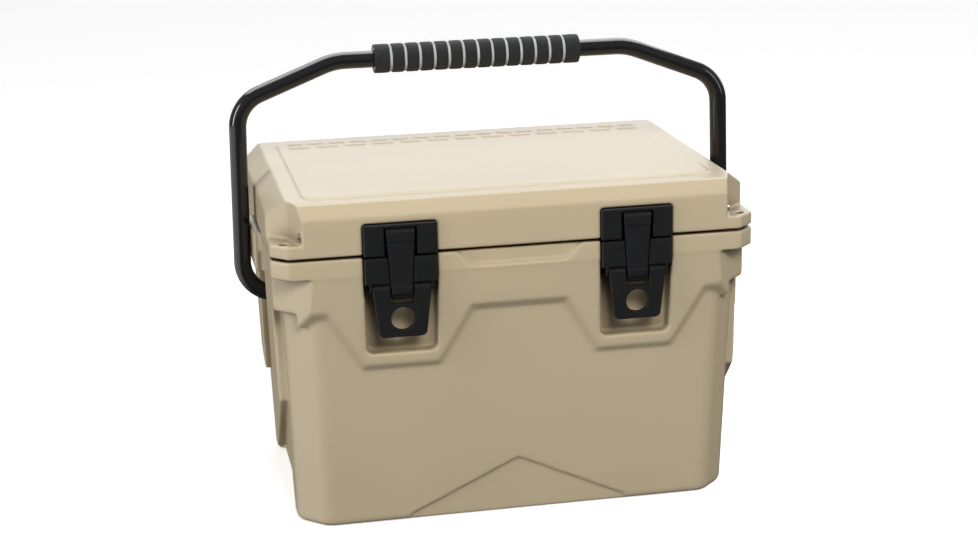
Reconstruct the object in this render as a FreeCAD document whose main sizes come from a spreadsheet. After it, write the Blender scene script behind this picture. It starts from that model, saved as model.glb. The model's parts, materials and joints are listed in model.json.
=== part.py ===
import FreeCAD, Part
import math
import os
import Sketcher
from FreeCAD import Placement, Rotation, Vector

# A hard-sided cooler chest with a bail handle, two front latches and a rear-hinged lid.
# X runs along the width, the front faces -Y, Z is up. The origin is at the middle of the base.

doc = FreeCAD.newDocument("cooler_chest")
sheet = doc.addObject("Spreadsheet::Sheet", "Dims")

DIMENSIONS = [
    # chest body
    ("rim_width", 520.0), ("rim_depth", 366.0), ("body_top", 306.5), ("rim_low", 286.5),
    ("rim_corner", 17.5), ("band_low", 245.0), ("band_width", 515.0), ("band_corner", 31.0),
    ("foot_width", 482.0), ("foot_depth", 310.0), ("waist_width", 494.0), ("waist_depth", 346.0),
    ("column_corner", 29.0), ("column_round", 22.0), ("edge_round", 8.0), ("apron_slope", 1.3),
    ("cavity_width", 410.0), ("cavity_depth", 262.0), ("cavity_floor", 52.0),
    ("cavity_taper", 10.0), ("cavity_round", 22.0), ("skin", 5.0),
    # lid
    ("lid_low", 309.0), ("lid_flange_top", 323.0), ("lid_front_top", 349.5),
    ("lid_rear_top", 341.0), ("lid_side_top", 347.0), ("lid_top", 363.2), ("lid_bevel_y", 14.0),
    ("lid_bevel_x", 21.0), ("panel_width", 441.0), ("panel_depth", 293.6), ("panel_rise", 1.8),
    ("panel_round", 12.0), ("plug_width", 396.0), ("plug_depth", 248.0), ("plug_low", 293.0),
    ("rear_corner", 31.0), ("notch_x", 227.0), ("dash_span", 213.0),
    # latches
    ("latch_x", 126.5), ("latch_front", -187.0), ("pocket_width", 77.4), ("pocket_low", 198.0),
    ("pocket_back", -161.0), ("keeper_width", 77.6), ("keeper_top", 341.0), ("keeper_back", -171.0),
    ("keeper_screw_z", 321.0), ("bracket_low", 277.3), ("bracket_screw_z", 291.0),
    ("lever_y", -183.0), ("lever_z", 271.5), ("strap_y", -181.0), ("strap_z", 264.0),
    ("pin_radius", 2.5),
    # bail handle
    ("tube_radius", 9.5), ("pivot_z", 225.0), ("bail_top", 483.0), ("bail_half", 278.5),
    ("pivot_floor", 238.0), ("bore_end", 212.0), ("bushing_radius", 12.5), ("tube_end", 214.0),
    ("grip_half", 115.5), ("grip_centre", -6.5), ("grip_radius", 16.0), ("sleeve_radius", 14.7),
    ("end_ring", 17.0), ("ring_length", 13.6), ("ring_gap", 2.6),
    # rear hinge
    ("hinge_y", 193.0), ("hinge_z", 303.0), ("hinge_x", 150.0), ("hinge_pin_radius", 3.0),
    ("lock_x", 245.0), ("lock_y", -166.5), ("lock_radius", 4.5),
]


class Size:
    """A length that holds both its value and the formula that ties it to the sheet."""

    def __init__(self, value, text):
        self.value = value
        self.text = text

    def combine(self, other, sign, value):
        return Size(value, "(" + self.text + " " + sign + " " + formula(other) + ")")

    def __add__(self, other):
        return self.combine(other, "+", self.value + number(other))

    def __sub__(self, other):
        return self.combine(other, "-", self.value - number(other))

    def __mul__(self, other):
        return self.combine(other, "*", self.value * number(other))

    def __truediv__(self, other):
        return self.combine(other, "/", self.value / number(other))

    def __neg__(self):
        return self * -1.0

    def __radd__(self, other):
        return self + other

    def __rsub__(self, other):
        return -self + other


def number(size):
    return size.value if isinstance(size, Size) else float(size)


def formula(size):
    return size.text if isinstance(size, Size) else "(" + repr(float(size)) + ")"


def fill_sheet():
    sizes = {}
    for row, (alias, value) in enumerate(DIMENSIONS, start=1):
        sheet.set("A" + str(row), alias)
        sheet.set("B" + str(row), str(value))
        sheet.setAlias("B" + str(row), alias)
        sizes[alias] = Size(value, "Dims." + alias)
    doc.recompute()
    return sizes


D = fill_sheet()
LATCHES = (("left", -D["latch_x"]), ("right", D["latch_x"]))
used_labels = {}


def bind(thing, field, size):
    if isinstance(size, Size):
        thing.setExpression(field, size.text)
    else:
        setattr(thing, field, size)


def place(thing, x, y, z, axis=None, turn=0.0):
    rotation = Rotation(axis, turn) if axis else Rotation()
    thing.Placement = Placement(Vector(number(x), number(y), number(z)), rotation)
    for letter, size in (("x", x), ("y", y), ("z", z)):
        if isinstance(size, Size):
            thing.setExpression("Placement.Base." + letter, size.text)
    return thing


def fresh(kind, name):
    return doc.addObject(kind, name)


def box(name, x_range, y_range, z_range):
    """A box between two values on each axis."""
    thing = fresh("Part::Box", name)
    for field, (low, high) in (("Length", x_range), ("Width", y_range), ("Height", z_range)):
        bind(thing, field, high - low)
    return place(thing, x_range[0], y_range[0], z_range[0])


def rod(name, radius, length, at, axis="Z"):
    """A cylinder that starts at a point and runs along +X, +Y or +Z."""
    thing = fresh("Part::Cylinder", name)
    bind(thing, "Radius", radius)
    bind(thing, "Height", length)
    turns = {"X": (Vector(0, 1, 0), 90), "Y": (Vector(1, 0, 0), -90), "Z": (Vector(0, 0, 1), 0)}
    return place(thing, *at, *turns[axis])


def outline(name, points, axis, start):
    """A closed sketch of straight sides, square to an axis, whose corners are tied to the sheet.

    Corners are (x, y) for axis Z, (x, z) for axis Y and (y, z) for axis X.
    """
    sketch = fresh("Sketcher::SketchObject", name)
    turns = {
        "Z": Rotation(),
        "Y": Rotation(Vector(1, 0, 0), 90),
        "X": Rotation(Vector(1, 1, 1), 120),
    }
    offset = {"Z": (0, 0, start), "Y": (0, start, 0), "X": (start, 0, 0)}[axis]
    place(sketch, *offset)
    sketch.Placement = Placement(sketch.Placement.Base, turns[axis])
    for letter, size in zip("xyz", offset):
        if isinstance(size, Size):
            sketch.setExpression("Placement.Base." + letter, size.text)
    corners = [Vector(number(a), number(b), 0) for a, b in points]
    count = len(corners)
    for i in range(count):
        sketch.addGeometry(Part.LineSegment(corners[i], corners[(i + 1) % count]))
    for i in range(count):
        sketch.addConstraint(Sketcher.Constraint("Coincident", i, 2, (i + 1) % count, 1))
    for i, point in enumerate(points):
        for kind, size in zip(("DistanceX", "DistanceY"), point):
            spot = sketch.addConstraint(Sketcher.Constraint(kind, -1, 1, i, 1, number(size)))
            if isinstance(size, Size):
                sketch.setExpression("Constraints[" + str(spot) + "]", size.text)
    return sketch


def prism(name, points, axis, low, high):
    """A straight-sided plate: an outline carried from low to high along its axis."""
    sketch = outline(name + "_outline", points, axis, low)
    thing = fresh("Part::Extrusion", name)
    thing.Base = sketch
    thing.DirMode = "Custom"
    thing.Dir = {"X": Vector(1, 0, 0), "Y": Vector(0, 1, 0), "Z": Vector(0, 0, 1)}[axis]
    bind(thing, "LengthFwd", high - low)
    thing.Solid = True
    return thing


def loft(name, sections, axis="Z"):
    """A ruled solid through outlines at different places along an axis: [(points, place), ...]."""
    thing = fresh("Part::Loft", name)
    thing.Sections = [
        outline(name + "_" + str(i), points, axis, at)
        for i, (points, at) in enumerate(sections)
    ]
    thing.Solid = True
    thing.Ruled = True
    return thing


def fuse(name, *pieces):
    thing = fresh("Part::MultiFuse", name)
    thing.Shapes = list(pieces)
    thing.Refine = True
    return thing


def cut(name, base, *tools):
    thing = fresh("Part::Cut", name)
    thing.Base = base
    thing.Tool = tools[0] if len(tools) == 1 else fuse(name + "_tools", *tools)
    thing.Refine = True
    return thing


def common(name, base, tool):
    thing = fresh("Part::Common", name)
    thing.Base = base
    thing.Tool = tool
    return thing


def rounded(name, base, radius, wanted):
    """Fillets the edges of base for which wanted(edge) is true."""
    doc.recompute()
    thing = fresh("Part::Fillet", name)
    thing.Base = base
    numbers = [i for i, edge in enumerate(base.Shape.Edges, start=1) if wanted(edge)]
    thing.Edges = [(i, number(radius), number(radius)) for i in numbers]
    doc.recompute()
    if thing.Shape.isNull() or not thing.Shape.isValid() or not numbers:
        raise ValueError(name + ": the rounding failed on " + str(len(numbers)) + " edges")
    return thing


def mirrored(name, base, normal=Vector(1, 0, 0)):
    thing = fresh("Part::Mirroring", name)
    thing.Source = base
    thing.Normal = normal
    return thing


def shifted(name, base, offset):
    """A linked copy of a piece, moved."""
    thing = fresh("App::Link", name)
    thing.LinkedObject = base
    thing.Placement = Placement(offset, Rotation())
    return thing


def keep(thing, label):
    """Names a finished piece; its label is its file's name."""
    thing.Label = label
    used_labels[label] = thing
    return thing


def clipped_plan(width, depth, corner):
    """A rectangle about the origin with its four corners cut off."""
    x = width / 2
    y = depth / 2
    return [
        (x, corner - y), (x, y - corner), (x - corner, y), (corner - x, y),
        (-x, y - corner), (-x, corner - y), (corner - x, -y), (x - corner, -y),
    ]


def is_line_along(edge, direction):
    if edge.Curve.TypeId != "Part::GeomLine":
        return False
    return abs(edge.tangentAt(edge.FirstParameter).dot(direction)) > 0.97


def middle(edge):
    return edge.valueAt((edge.FirstParameter + edge.LastParameter) / 2)


def mirrored_x(points):
    """The right-hand half of an outline followed by its left-hand mirror image."""
    return points + [(-x, z) for x, z in reversed(points)]


# ---------------------------------------------------------------- chest body

def apron_outline(low_spread, high_spread):
    """The raised apron on the front wall, with its two dropped panels round the latches.

    Its lower edge is moved outwards by a spread, given for the low and the high corners.
    """
    end = D["band_width"] / 2 - 4
    top = D["rim_low"] + 4
    lean = 0.57
    return mirrored_x([
        (50.7 - lean * high_spread, 244 - high_spread), (86 - lean * low_spread, 183 - low_spread),
        (167.5 + lean * low_spread, 183 - low_spread), (205 + lean * high_spread, 245 - high_spread),
        (end, 245 - high_spread), (end, top),
    ])


def apron_plate():
    """The apron: its edge slopes back to the wall, and its face leans with the wall."""
    front = -D["rim_depth"] / 2
    slope = D["apron_slope"]
    outer = front - 1
    inner = -D["waist_depth"] / 2 + 30
    low_line = number(front) + 12.4
    high_line = number(front) + 6.7

    def spread(y, line):
        return number(slope) * (number(y) - line)

    slab = loft("apron_slab", [
        (apron_outline(spread(outer, low_line), spread(outer, high_line)), outer),
        (apron_outline(spread(front + 18, low_line), spread(front + 18, high_line)), front + 18),
    ], "Y")
    lean = prism(
        "apron_lean",
        [(inner, 150), (front + 12.7, 150), (front, D["rim_low"] + 4), (inner, D["rim_low"] + 4)], "X",
        -D["rim_width"] / 2, D["rim_width"] / 2,
    )
    plan = prism("apron_plan", clipped_plan(D["band_width"], D["rim_depth"], D["band_corner"] + 8), "Z",
                 150, D["rim_low"] + 4)
    return common("apron", common("apron_leaning", slab, lean), plan)


def body_outside():
    column = loft("column", [
        (clipped_plan(D["foot_width"], D["foot_depth"], D["column_corner"]), 0),
        (clipped_plan(D["waist_width"], D["waist_depth"], D["column_corner"]), D["band_low"] + 5),
    ])
    column = rounded(
        "column_upright", column, D["column_round"], lambda e: 1 < middle(e).z < number(D["band_low"]),
    )
    column = rounded("column_soft", column, D["edge_round"], lambda e: middle(e).z < 1)
    band = prism("band", clipped_plan(D["band_width"], D["waist_depth"] + 4, D["band_corner"]), "Z",
                 D["band_low"], D["rim_low"] + 2)
    rim = prism("rim", clipped_plan(D["rim_width"], D["rim_depth"], D["rim_corner"]), "Z",
                D["rim_low"], D["body_top"])
    rim = rounded("rim_soft", rim, 4.0, lambda e: is_line_along(e, Vector(0, 0, 1)))
    apron = apron_plate()
    rear_apron = mirrored("apron_rear", apron, Vector(0, 1, 0))
    return [column, band, rim, apron, rear_apron]


def side_pad():
    """The raised pad on the right-hand end wall; it narrows downwards and ends higher at the back."""
    profile = [(-126, 247), (-126, 140), (-54, 62), (50, 62), (50, 118), (86, 138), (98, 247)]
    face = D["band_width"] / 2
    back = D["waist_width"] / 2 - 30
    slab = prism("side_pad_slab", profile, "X", back, face + 1)
    lean = prism("side_pad_lean", [(back, 60), (face - 4, 60), (face - 2.5, 150), (face, 250), (back, 250)],
                 "Y", -130, 130)
    return common("side_pad", slab, lean)


def ear_block():
    """The block over the handle pivot, moulded on the end wall under the rim."""
    face = D["bail_half"] - D["tube_radius"] - 2.4
    block = box("ear_block", (D["band_width"] / 2 - 20, face), (-42, 42), (262, D["body_top"]))
    return rounded("ear", block, 3.0, lambda e: middle(e).x > number(face) - 1)


def pivot_recess():
    """The channel down the end wall and, within it, the deeper hollow in which the bail's end turns."""
    out = D["rim_width"] / 2 + 20
    channel = prism(
        "pivot_channel", [(-52, 262), (-52, 58), (52, 58), (52, 262)], "X", D["pivot_floor"] + 6.5, out,
    )
    pocket = prism(
        "pivot_pocket", [(-38, 262), (-38, 206), (-24, 190), (24, 190), (38, 206), (38, 262)], "X",
        D["pivot_floor"], out,
    )
    return fuse("pivot_recess", channel, pocket)


def foot_recess():
    """The shallow hollow at the bottom middle of the end wall, between the corner feet."""
    profile = [(-104, -1), (-88, 62), (88, 62), (104, -1)]
    return prism("foot_recess", profile, "X",
                 D["foot_width"] / 2 - 9, D["rim_width"] / 2)


def corner_recess():
    """The hollow under the front corner of the rim, which leaves room for a padlock."""
    lean = D["rim_width"] / 2 + 20
    plan = [(228, -200), (228, -177),
            (256, -149), (lean, -149), (lean, -200)]
    return prism("corner_recess", plan, "Z", 221, D["rim_low"])


def latch_pocket(side):
    """The hollow in the front wall behind one latch; below the latch its sides and floor slope inwards."""
    name = "latch_pocket_" + side
    x = D["latch_x"] if side == "right" else -D["latch_x"]
    half = D["pocket_width"] / 2
    front = -D["rim_depth"] / 2
    split = 262
    upper = box(
        name + "_upper", (x - half, x + half), (front - 10, D["pocket_back"]),
        (split, D["body_top"] + 5),
    )
    low = D["pocket_low"]
    mouth = [(x - half, low), (x - half, split), (x + half, split), (x + half, low)]
    inner = [
        (x - half + 2, low + 1.5), (x - half + 2, split), (x + half - 2, split),
        (x + half - 2, low + 1.5),
    ]
    lower = loft(name + "_lower", [(mouth, front - 1), (inner, D["pocket_back"])], "Y")
    lower = rounded(name + "_lower_soft", lower, 7.0,
                    lambda e: abs(middle(e).y - number(front) - 10) < 8 and middle(e).z < split - 20)
    lip = prism(name + "_lip", mouth, "Y", front - 10, front - 1)
    return fuse(name, upper, lower, lip)


def grip_recess():
    """The shallow finger hollow at the middle of the front rim, with sloping ends and floor."""
    front = -D["rim_depth"] / 2
    mouth = mirrored_x([(52.5, 289), (69, 308)])
    inner = mirrored_x([(50.5, 291), (66.5, 308)])
    return loft("grip_recess", [(mouth, front - 0.5), (inner, front + 4.8)], "Y")


def chevron():
    """The shallow peaked hollow along the foot of the front wall."""
    peak = [(-120, 7), (0, 64), (120, 7), (124, -5), (-124, -5)]
    foot_front = -D["foot_depth"] / 2
    slab = prism("chevron_slab", peak, "Y",
                 foot_front - 12, foot_front + 20)
    lean = prism("chevron_lean", [
        (foot_front - 30, -10), (foot_front + 3.8, -10),
        (foot_front - 2.0, 70), (foot_front - 30, 70),
    ], "X", -130, 130)
    return common("chevron", slab, lean)


def lock_holes(name, low, high):
    holes = []
    for side, x in (("left", -D["lock_x"]), ("right", D["lock_x"])):
        holes.append(rod(name + "_" + side, D["lock_radius"], high - low, (x, D["lock_y"], low)))
    return holes


def cavity():
    """The tub inside the chest: it narrows a little downwards and has rounded corners."""
    inset = D["cavity_taper"]
    tub = loft(
        "cavity_tub",
        [
            (
                clipped_plan(
                    D["cavity_width"] - inset * 2, D["cavity_depth"] - inset * 2, D["cavity_round"],
                ),
                D["cavity_floor"],
            ),
            (clipped_plan(D["cavity_width"], D["cavity_depth"], D["cavity_round"]), D["body_top"] + 5),
        ],
    )
    floor_z = number(D["cavity_floor"])
    return rounded("cavity", tub, 10.0, lambda e: middle(e).z < floor_z + 1)


def body_foam_shape(name):
    """The foam that fills the double wall: a thick tub between the skin and the liner."""
    skin = D["skin"]
    inset = skin * 2
    wide = D["waist_width"] / 2
    outer = loft(
        name + "_outer",
        [
            (
                clipped_plan(
                    D["foot_width"] - inset - 3, D["foot_depth"] - inset - 3, D["column_corner"],
                ),
                skin + 2,
            ),
            (
                clipped_plan(D["waist_width"] - inset, D["waist_depth"] - inset, D["column_corner"]),
                D["rim_low"] - 6,
            ),
        ],
    )
    half_x = D["cavity_width"] / 2 + skin
    half_y = D["cavity_depth"] / 2 + skin
    inner = box(name + "_inner", (-half_x, half_x), (-half_y, half_y),
                (D["cavity_floor"] - skin, D["rim_low"]))
    solid_parts = []
    for side, turn in (("right", 1), ("left", -1)):
        solid_parts += [
            side_box(
                name + "_boss_" + side, turn, D["bore_end"] - skin, wide, 24, D["pivot_z"] - 24,
                D["pivot_z"] + 24,
            ),
            side_box(name + "_recess_" + side, turn, D["pivot_floor"] - skin, wide, 46, 182, 290),
            side_box(name + "_foot_" + side, turn, D["foot_width"] / 2 - 9 - skin, wide, 110, -1, 68),
        ]
    for side, x in LATCHES:
        half = D["pocket_width"] / 2 + skin
        solid_parts.append(
            box(
                name + "_latch_" + side, (x - half, x + half),
                (-D["rim_depth"] / 2, D["pocket_back"] + 15), (D["pocket_low"] - skin, D["rim_low"]),
            )
        )
    return cut(name, outer, inner, *solid_parts)


def side_box(name, turn, near, far, half_depth, low, high):
    """A box on one end wall, between two distances from the middle."""
    x_range = (near, far) if turn > 0 else (-far, -near)
    return box(name, x_range, (-half_depth, half_depth), (low, high))


def pivot_rods(name, radius, start, end):
    """A rod along the pivot axis on each side, between two distances from the middle."""
    right = rod(name + "_right", radius, end - start, (start, 0, D["pivot_z"]), "X")
    left = rod(name + "_left", radius, end - start, (-end, 0, D["pivot_z"]), "X")
    return [right, left]


def make_body():
    pad = side_pad()
    ear = ear_block()
    solid = fuse("body_mass", *body_outside(), pad, mirrored("side_pad_left", pad),
                 ear, mirrored("ear_left", ear))
    recess = pivot_recess()
    foot = foot_recess()
    corner = corner_recess()
    hollows = [
        cavity(), recess, mirrored("pivot_recess_left", recess), foot,
        mirrored("foot_recess_left", foot), corner, mirrored("corner_recess_left", corner),
        latch_pocket("left"), latch_pocket("right"), grip_recess(), chevron(),
        body_foam_shape("foam_space"),
    ]
    hollows += lock_holes("body_lock_hole", D["rim_low"] - 1, D["body_top"] + 5)
    hollows += pivot_rods("bushing_bore", D["bushing_radius"], D["bore_end"], D["bore_end"] + 60)
    for side, x in LATCHES:
        hollows += latch_screws("bracket_hole_" + side, x, D["bracket_screw_z"], D["pocket_back"] - 1, 13)
    hollows += hinge_screw_rods("body_hinge_hole", D["hinge_z"] - 26, 12, 12)
    keep(cut("body_shell", solid, *hollows), "body_shell")
    keep(body_foam_shape("body_foam"), "body_foam")
    sleeves = pivot_rods("bushing_tube", D["bushing_radius"], D["bore_end"], D["pivot_floor"])
    flanges = pivot_rods(
        "bushing_flange", D["bushing_radius"] + 5, D["pivot_floor"], D["pivot_floor"] + 2.5,
    )
    bores = pivot_rods("bushing_hole", D["tube_radius"] + 0.06, D["bore_end"] - 1, D["bore_end"] + 60)
    keep(cut("pivot_bushings", fuse("bushing_solids", *sleeves, *flanges), *bores), "pivot_bushings")


# ---------------------------------------------------------------- lid

def lid_outside():
    """The lid: a plain flange, upright sides and a sloping edge up to the flat top."""
    x = D["rim_width"] / 2
    y = D["rim_depth"] / 2
    low = D["lid_low"]
    top = D["lid_top"]
    across = [
        (-y, low), (-y, D["lid_front_top"]), (D["lid_bevel_y"] - y, top),
        (y - D["lid_bevel_y"], top), (y, D["lid_rear_top"]), (y, low),
    ]
    along = [(-x, low), (-x, D["lid_side_top"]), (D["lid_bevel_x"] - x, top), (x - D["lid_bevel_x"], top),
             (x, D["lid_side_top"]), (x, low)]
    block = common(
        "lid_block", prism("lid_across", across, "X", -x, x), prism("lid_along", along, "Y", -y, y),
    )
    plan = prism("lid_plan", clipped_plan(D["rim_width"], D["rim_depth"], D["rim_corner"]), "Z", low, top)
    block = common("lid_clipped", block, plan)
    return rounded("lid_soft", block, 4.0, lambda e: middle(e).z > number(low) + 1)


def lid_notch():
    """The cut-back front corner of the lid, over the padlock hole: a slanting cheek and a diagonal wall."""
    out = D["rim_width"] / 2 + 20
    front = -D["rim_depth"] / 2
    plan = [
        (D["notch_x"], front - 20), (D["notch_x"], front), (D["notch_x"] + 11, front + 34),
        (out, front + 76), (out, front - 20),
    ]
    block = prism("lid_notch_block", plan, "Z", D["lid_flange_top"], D["lid_top"] + 20)
    bend = number(D["notch_x"]) + 11
    return rounded("lid_notch", block, 9.0,
                   lambda e: is_line_along(e, Vector(0, 0, 1)) and abs(middle(e).x - bend) < 1)


def lid_rear_corner():
    """The corner cut off the back of the lid above its flange, which lets the bail swing past."""
    x = D["rim_width"] / 2
    y = D["rim_depth"] / 2
    size = D["rear_corner"]
    plan = [(x - size, y + 10), (x - size, y), (x, y - size), (x + 10, y - size), (x + 10, y + 10)]
    return prism("lid_rear_corner", plan, "Z", D["lid_flange_top"], D["lid_top"] + 20)


def dash_rows():
    """Two rows of plain raised dashes near the back edge of the top panel."""
    dashes = []
    face = D["lid_top"] + D["panel_rise"]
    for row, (y, half_depth, count) in enumerate(((131, 4.5, 17), (113, 5.5, 13))):
        pitch = D["dash_span"] * 2 / count
        for i in range(count):
            start = pitch * (i + 0.12) - D["dash_span"]
            dashes.append(box("dash_" + str(row) + "_" + str(i), (start, start + pitch * 0.76),
                              (y - half_depth, y + half_depth), (face - 1, face + 0.8)))
    return dashes


def lid_foam_shape(name):
    upper = box(name + "_upper", (-212, 212), (-150, 150), (D["lid_low"] + 6, D["lid_top"] - 7))
    lower = box(name + "_lower", (6 - D["plug_width"] / 2, D["plug_width"] / 2 - 6),
                (6 - D["plug_depth"] / 2, D["plug_depth"] / 2 - 6), (D["plug_low"] + 5, D["lid_low"] + 7))
    return fuse(name, upper, lower)


def plate_with_round_corners(name, width, depth, low, high, radius):
    slab = box(name + "_slab", (-width / 2, width / 2), (-depth / 2, depth / 2), (low, high))
    return rounded(name, slab, radius, lambda e: is_line_along(e, Vector(0, 0, 1)))


def make_lid():
    panel = plate_with_round_corners("top_panel", D["panel_width"], D["panel_depth"], D["lid_top"] - 3,
                                     D["lid_top"] + D["panel_rise"], D["panel_round"])
    plug = plate_with_round_corners("lid_plug", D["plug_width"], D["plug_depth"], D["plug_low"],
                                    D["lid_low"] + 2, 18.0)
    notch = lid_notch()
    rear = lid_rear_corner()
    carved = cut("lid_carved", lid_outside(), notch, mirrored("lid_notch_left", notch),
                 rear, mirrored("lid_rear_corner_left", rear))
    solid = fuse("lid_mass", carved, panel, plug, *dash_rows())
    hollows = lock_holes("lid_lock_hole", D["lid_low"] - 3, D["lid_flange_top"] + 5)
    hollows.append(lid_foam_shape("lid_foam_space"))
    front = -D["rim_depth"] / 2
    for side, x in LATCHES:
        half = D["keeper_width"] / 2 + 0.2
        hollows.append(box("keeper_seat_" + side, (x - half, x + half), (front - 10, D["keeper_back"]),
                           (D["lid_low"] - 5, D["keeper_top"] + 0.3)))
        hollows += latch_screws("keeper_hole_" + side, x, D["keeper_screw_z"], D["keeper_back"] - 1, 13)
    hollows += hinge_screw_rods("lid_hinge_hole", D["hinge_z"] + 22, 12, 12)
    hollows += notch_pin_rods("notch_pin_hole", 3.4, -7)
    keep(cut("lid_shell", solid, *hollows), "lid_shell")
    keep(lid_foam_shape("lid_foam"), "lid_foam")
    pins = fuse("notch_pins", *notch_pin_rods("notch_pin", 3.4, -7))
    keep(cut("lid_corner_pins", pins, *notch_pin_rods("notch_pin_bore", 1.7, 1.5)), "lid_corner_pins")
    seal_out = plate_with_round_corners("seal_outer", 448, 300, D["body_top"] + 0.4, D["lid_low"], 24.0)
    seal_in = plate_with_round_corners("seal_inner", 432, 284, D["body_top"], D["lid_low"] + 1, 18.0)
    keep(cut("lid_gasket", seal_out, seal_in), "lid_gasket")


def notch_pin_rods(name, radius, start):
    """The small steel tube set in the cheek of each front corner notch, slightly proud of it."""
    y = -D["rim_depth"] / 2 + 9
    z = D["lid_flange_top"] + 7
    inner = D["notch_x"] + start
    outer = D["notch_x"] + 4.2
    return [rod(name + "_right", radius, outer - inner, (inner, y, z), "X"),
            rod(name + "_left", radius, outer - inner, (-outer, y, z), "X")]


# ---------------------------------------------------------------- latches

def latch_screws(name, x, z, start, length):
    """Two screw shanks side by side, running back into the wall behind a latch piece."""
    return [
        rod(name + "_" + str(i), 2.2, length + 1, (x + spread, start, z), "Y")
        for i, spread in enumerate((-25, 25))
    ]


def screw_set(name, x, z, face):
    """Two pan-head screws that hold a latch piece; the heads stand on its back plate."""
    pieces = latch_screws(name + "_shank", x, z, face - 1, 15)
    for i, spread in enumerate((-25, 25)):
        pieces.append(rod(name + "_head_" + str(i), 4.2, 2.4, (x + spread, face - 2.4, z), "Y"))
    keep(fuse(name, *pieces), name)


def keeper(side, x):
    """The frame on the lid that the strap hooks into: two side blocks, a top bar and a back plate."""
    half = D["keeper_width"] / 2
    front = D["latch_front"]
    back = D["keeper_back"]
    low = D["lid_low"] - 1.5
    top = D["keeper_top"]
    name = "keeper_" + side
    block = box(name + "_block", (x - half, x + half), (front, back), (low, top))
    block = rounded(name + "_soft", block, 1.6, lambda e: middle(e).y < number(front) + 0.1)
    slot = box(name + "_slot", (x - 17.5, x + 17.5), (front - 5, back - 4), (low - 5, top - 3.7))
    wells = [box(name + "_well_" + str(i), (x + a, x + a + 12), (front + 3, back - 4), (low + 3, top - 6))
             for i, a in enumerate((-31, 19))]
    holes = latch_screws(name + "_hole", x, D["keeper_screw_z"], back - 6, 13)
    keep(cut(name, block, slot, *wells, *holes), name)
    screw_set("keeper_screws_" + side, x, D["keeper_screw_z"], back - 4)


def bracket(side, x):
    """The base on the chest that carries the lever: two blocks beside the strap, joined behind it."""
    name = "bracket_" + side
    half = D["pocket_width"] / 2 - 0.3
    front = D["latch_front"]
    back = D["pocket_back"]
    low = D["bracket_low"]
    top = D["body_top"] - 1
    plan = [(x - half, low), (x - half, top), (x + half, top), (x + half, low)]
    block = prism(name + "_block", plan, "Y", front, back)
    block = rounded(name + "_soft", block, 1.6, lambda e: middle(e).y < number(front) + 0.1)
    slot = prism(
        name + "_slot",
        [(x - 12.2, low - 1), (x - 14.4, top + 1), (x + 14.4, top + 1), (x + 12.2, low - 1)], "Y",
        front - 5, back - 4,
    )
    cheeks = []
    for i, (a, b) in enumerate(((-33.8, -31.2), (31.2, 33.8))):
        cheeks.append(
            box(
                name + "_cheek_" + str(i), (x + a, x + b), (D["lever_y"], back),
                (D["lever_z"] - 3.8, low + 2),
            )
        )
        cheeks.append(box(name + "_cheek_top_" + str(i), (x + a, x + b), (D["lever_y"] - 3.8, back),
                          (D["lever_z"], low + 2)))
        cheeks.append(
            rod(name + "_cheek_end_" + str(i), 3.8, b - a, (x + a, D["lever_y"], D["lever_z"]), "X")
        )
    wells = [box(name + "_well_" + str(i), (x + a, x + a + 12), (front + 3, back - 4), (low + 4, top - 3))
             for i, a in enumerate((-31, 19))]
    body = cut(name + "_carved", fuse(name + "_mass", block, *cheeks), slot, *wells,
               *latch_screws(name + "_hole", x, D["bracket_screw_z"], back - 6, 13),
               rod(name + "_pin_hole", D["pin_radius"], 80.0, (x - 40, D["lever_y"], D["lever_z"]), "X"))
    keep(body, name)
    screw_set("bracket_screws_" + side, x, D["bracket_screw_z"], back - 4)


def lever(side, x):
    """The pull lever: a plate with a finger hole, a notch for the strap and a pivot knuckle each side."""
    name = "lever_" + side
    y = D["lever_y"]
    z = D["lever_z"]
    face = y - 4.6
    low = 219.5
    plan = [
        (x - 25, low), (x - 30.7, 268.0), (x - 30.7, z), (x + 30.7, z), (x + 30.7, 268.0),
        (x + 25, low),
    ]
    plate = prism(name + "_plate", plan, "Y", face, face + 6)
    plate = rounded(name + "_corners", plate, 6.0,
                    lambda e: is_line_along(e, Vector(0, 1, 0)) and middle(e).z < low + 1)
    plate = rounded(name + "_soft", plate, 1.2,
                    lambda e: middle(e).y < number(face) + 0.1 and middle(e).z < number(z) - 0.5)
    knuckle = rod(name + "_knuckle", 4.6, 61.4, (x - 30.7, y, z), "X")
    lugs = [
        box(
            name + "_lug_" + str(i), (x + a, x + a + 4), (face + 4, D["strap_y"] + 4),
            (D["strap_z"] - 4, D["strap_z"] + 4),
        )
        for i, a in enumerate((-17.5, 13.5))
    ]
    notch = box(name + "_notch", (x - 13, x + 13), (face - 10, y + 20), (255.8, z + 20))
    hole = rod(name + "_hole", 12.5, 30.0, (x, face - 10, 239.5), "Y")
    pin_hole = rod(name + "_pin_hole", D["pin_radius"] + 0.05, 80.0, (x - 40, y, z), "X")
    strap_hole = rod(name + "_strap_hole", 2.0, 50.0, (x - 25, D["strap_y"], D["strap_z"]), "X")
    keep(cut(name, fuse(name + "_mass", plate, knuckle, *lugs), notch, hole, pin_hole, strap_hole), name)
    pins = [rod(name + "_pin_left", D["pin_radius"], 19.3, (x - 33.8, y, z), "X"),
            rod(name + "_pin_right", D["pin_radius"], 19.3, (x + 14.5, y, z), "X")]
    keep(fuse("lever_pins_" + side, *pins), "lever_pins_" + side)
    keep(
        rod("strap_pin_" + side, 2.0, 35.0, (x - 17.5, D["strap_y"], D["strap_z"]), "X"),
        "strap_pin_" + side,
    )


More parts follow.
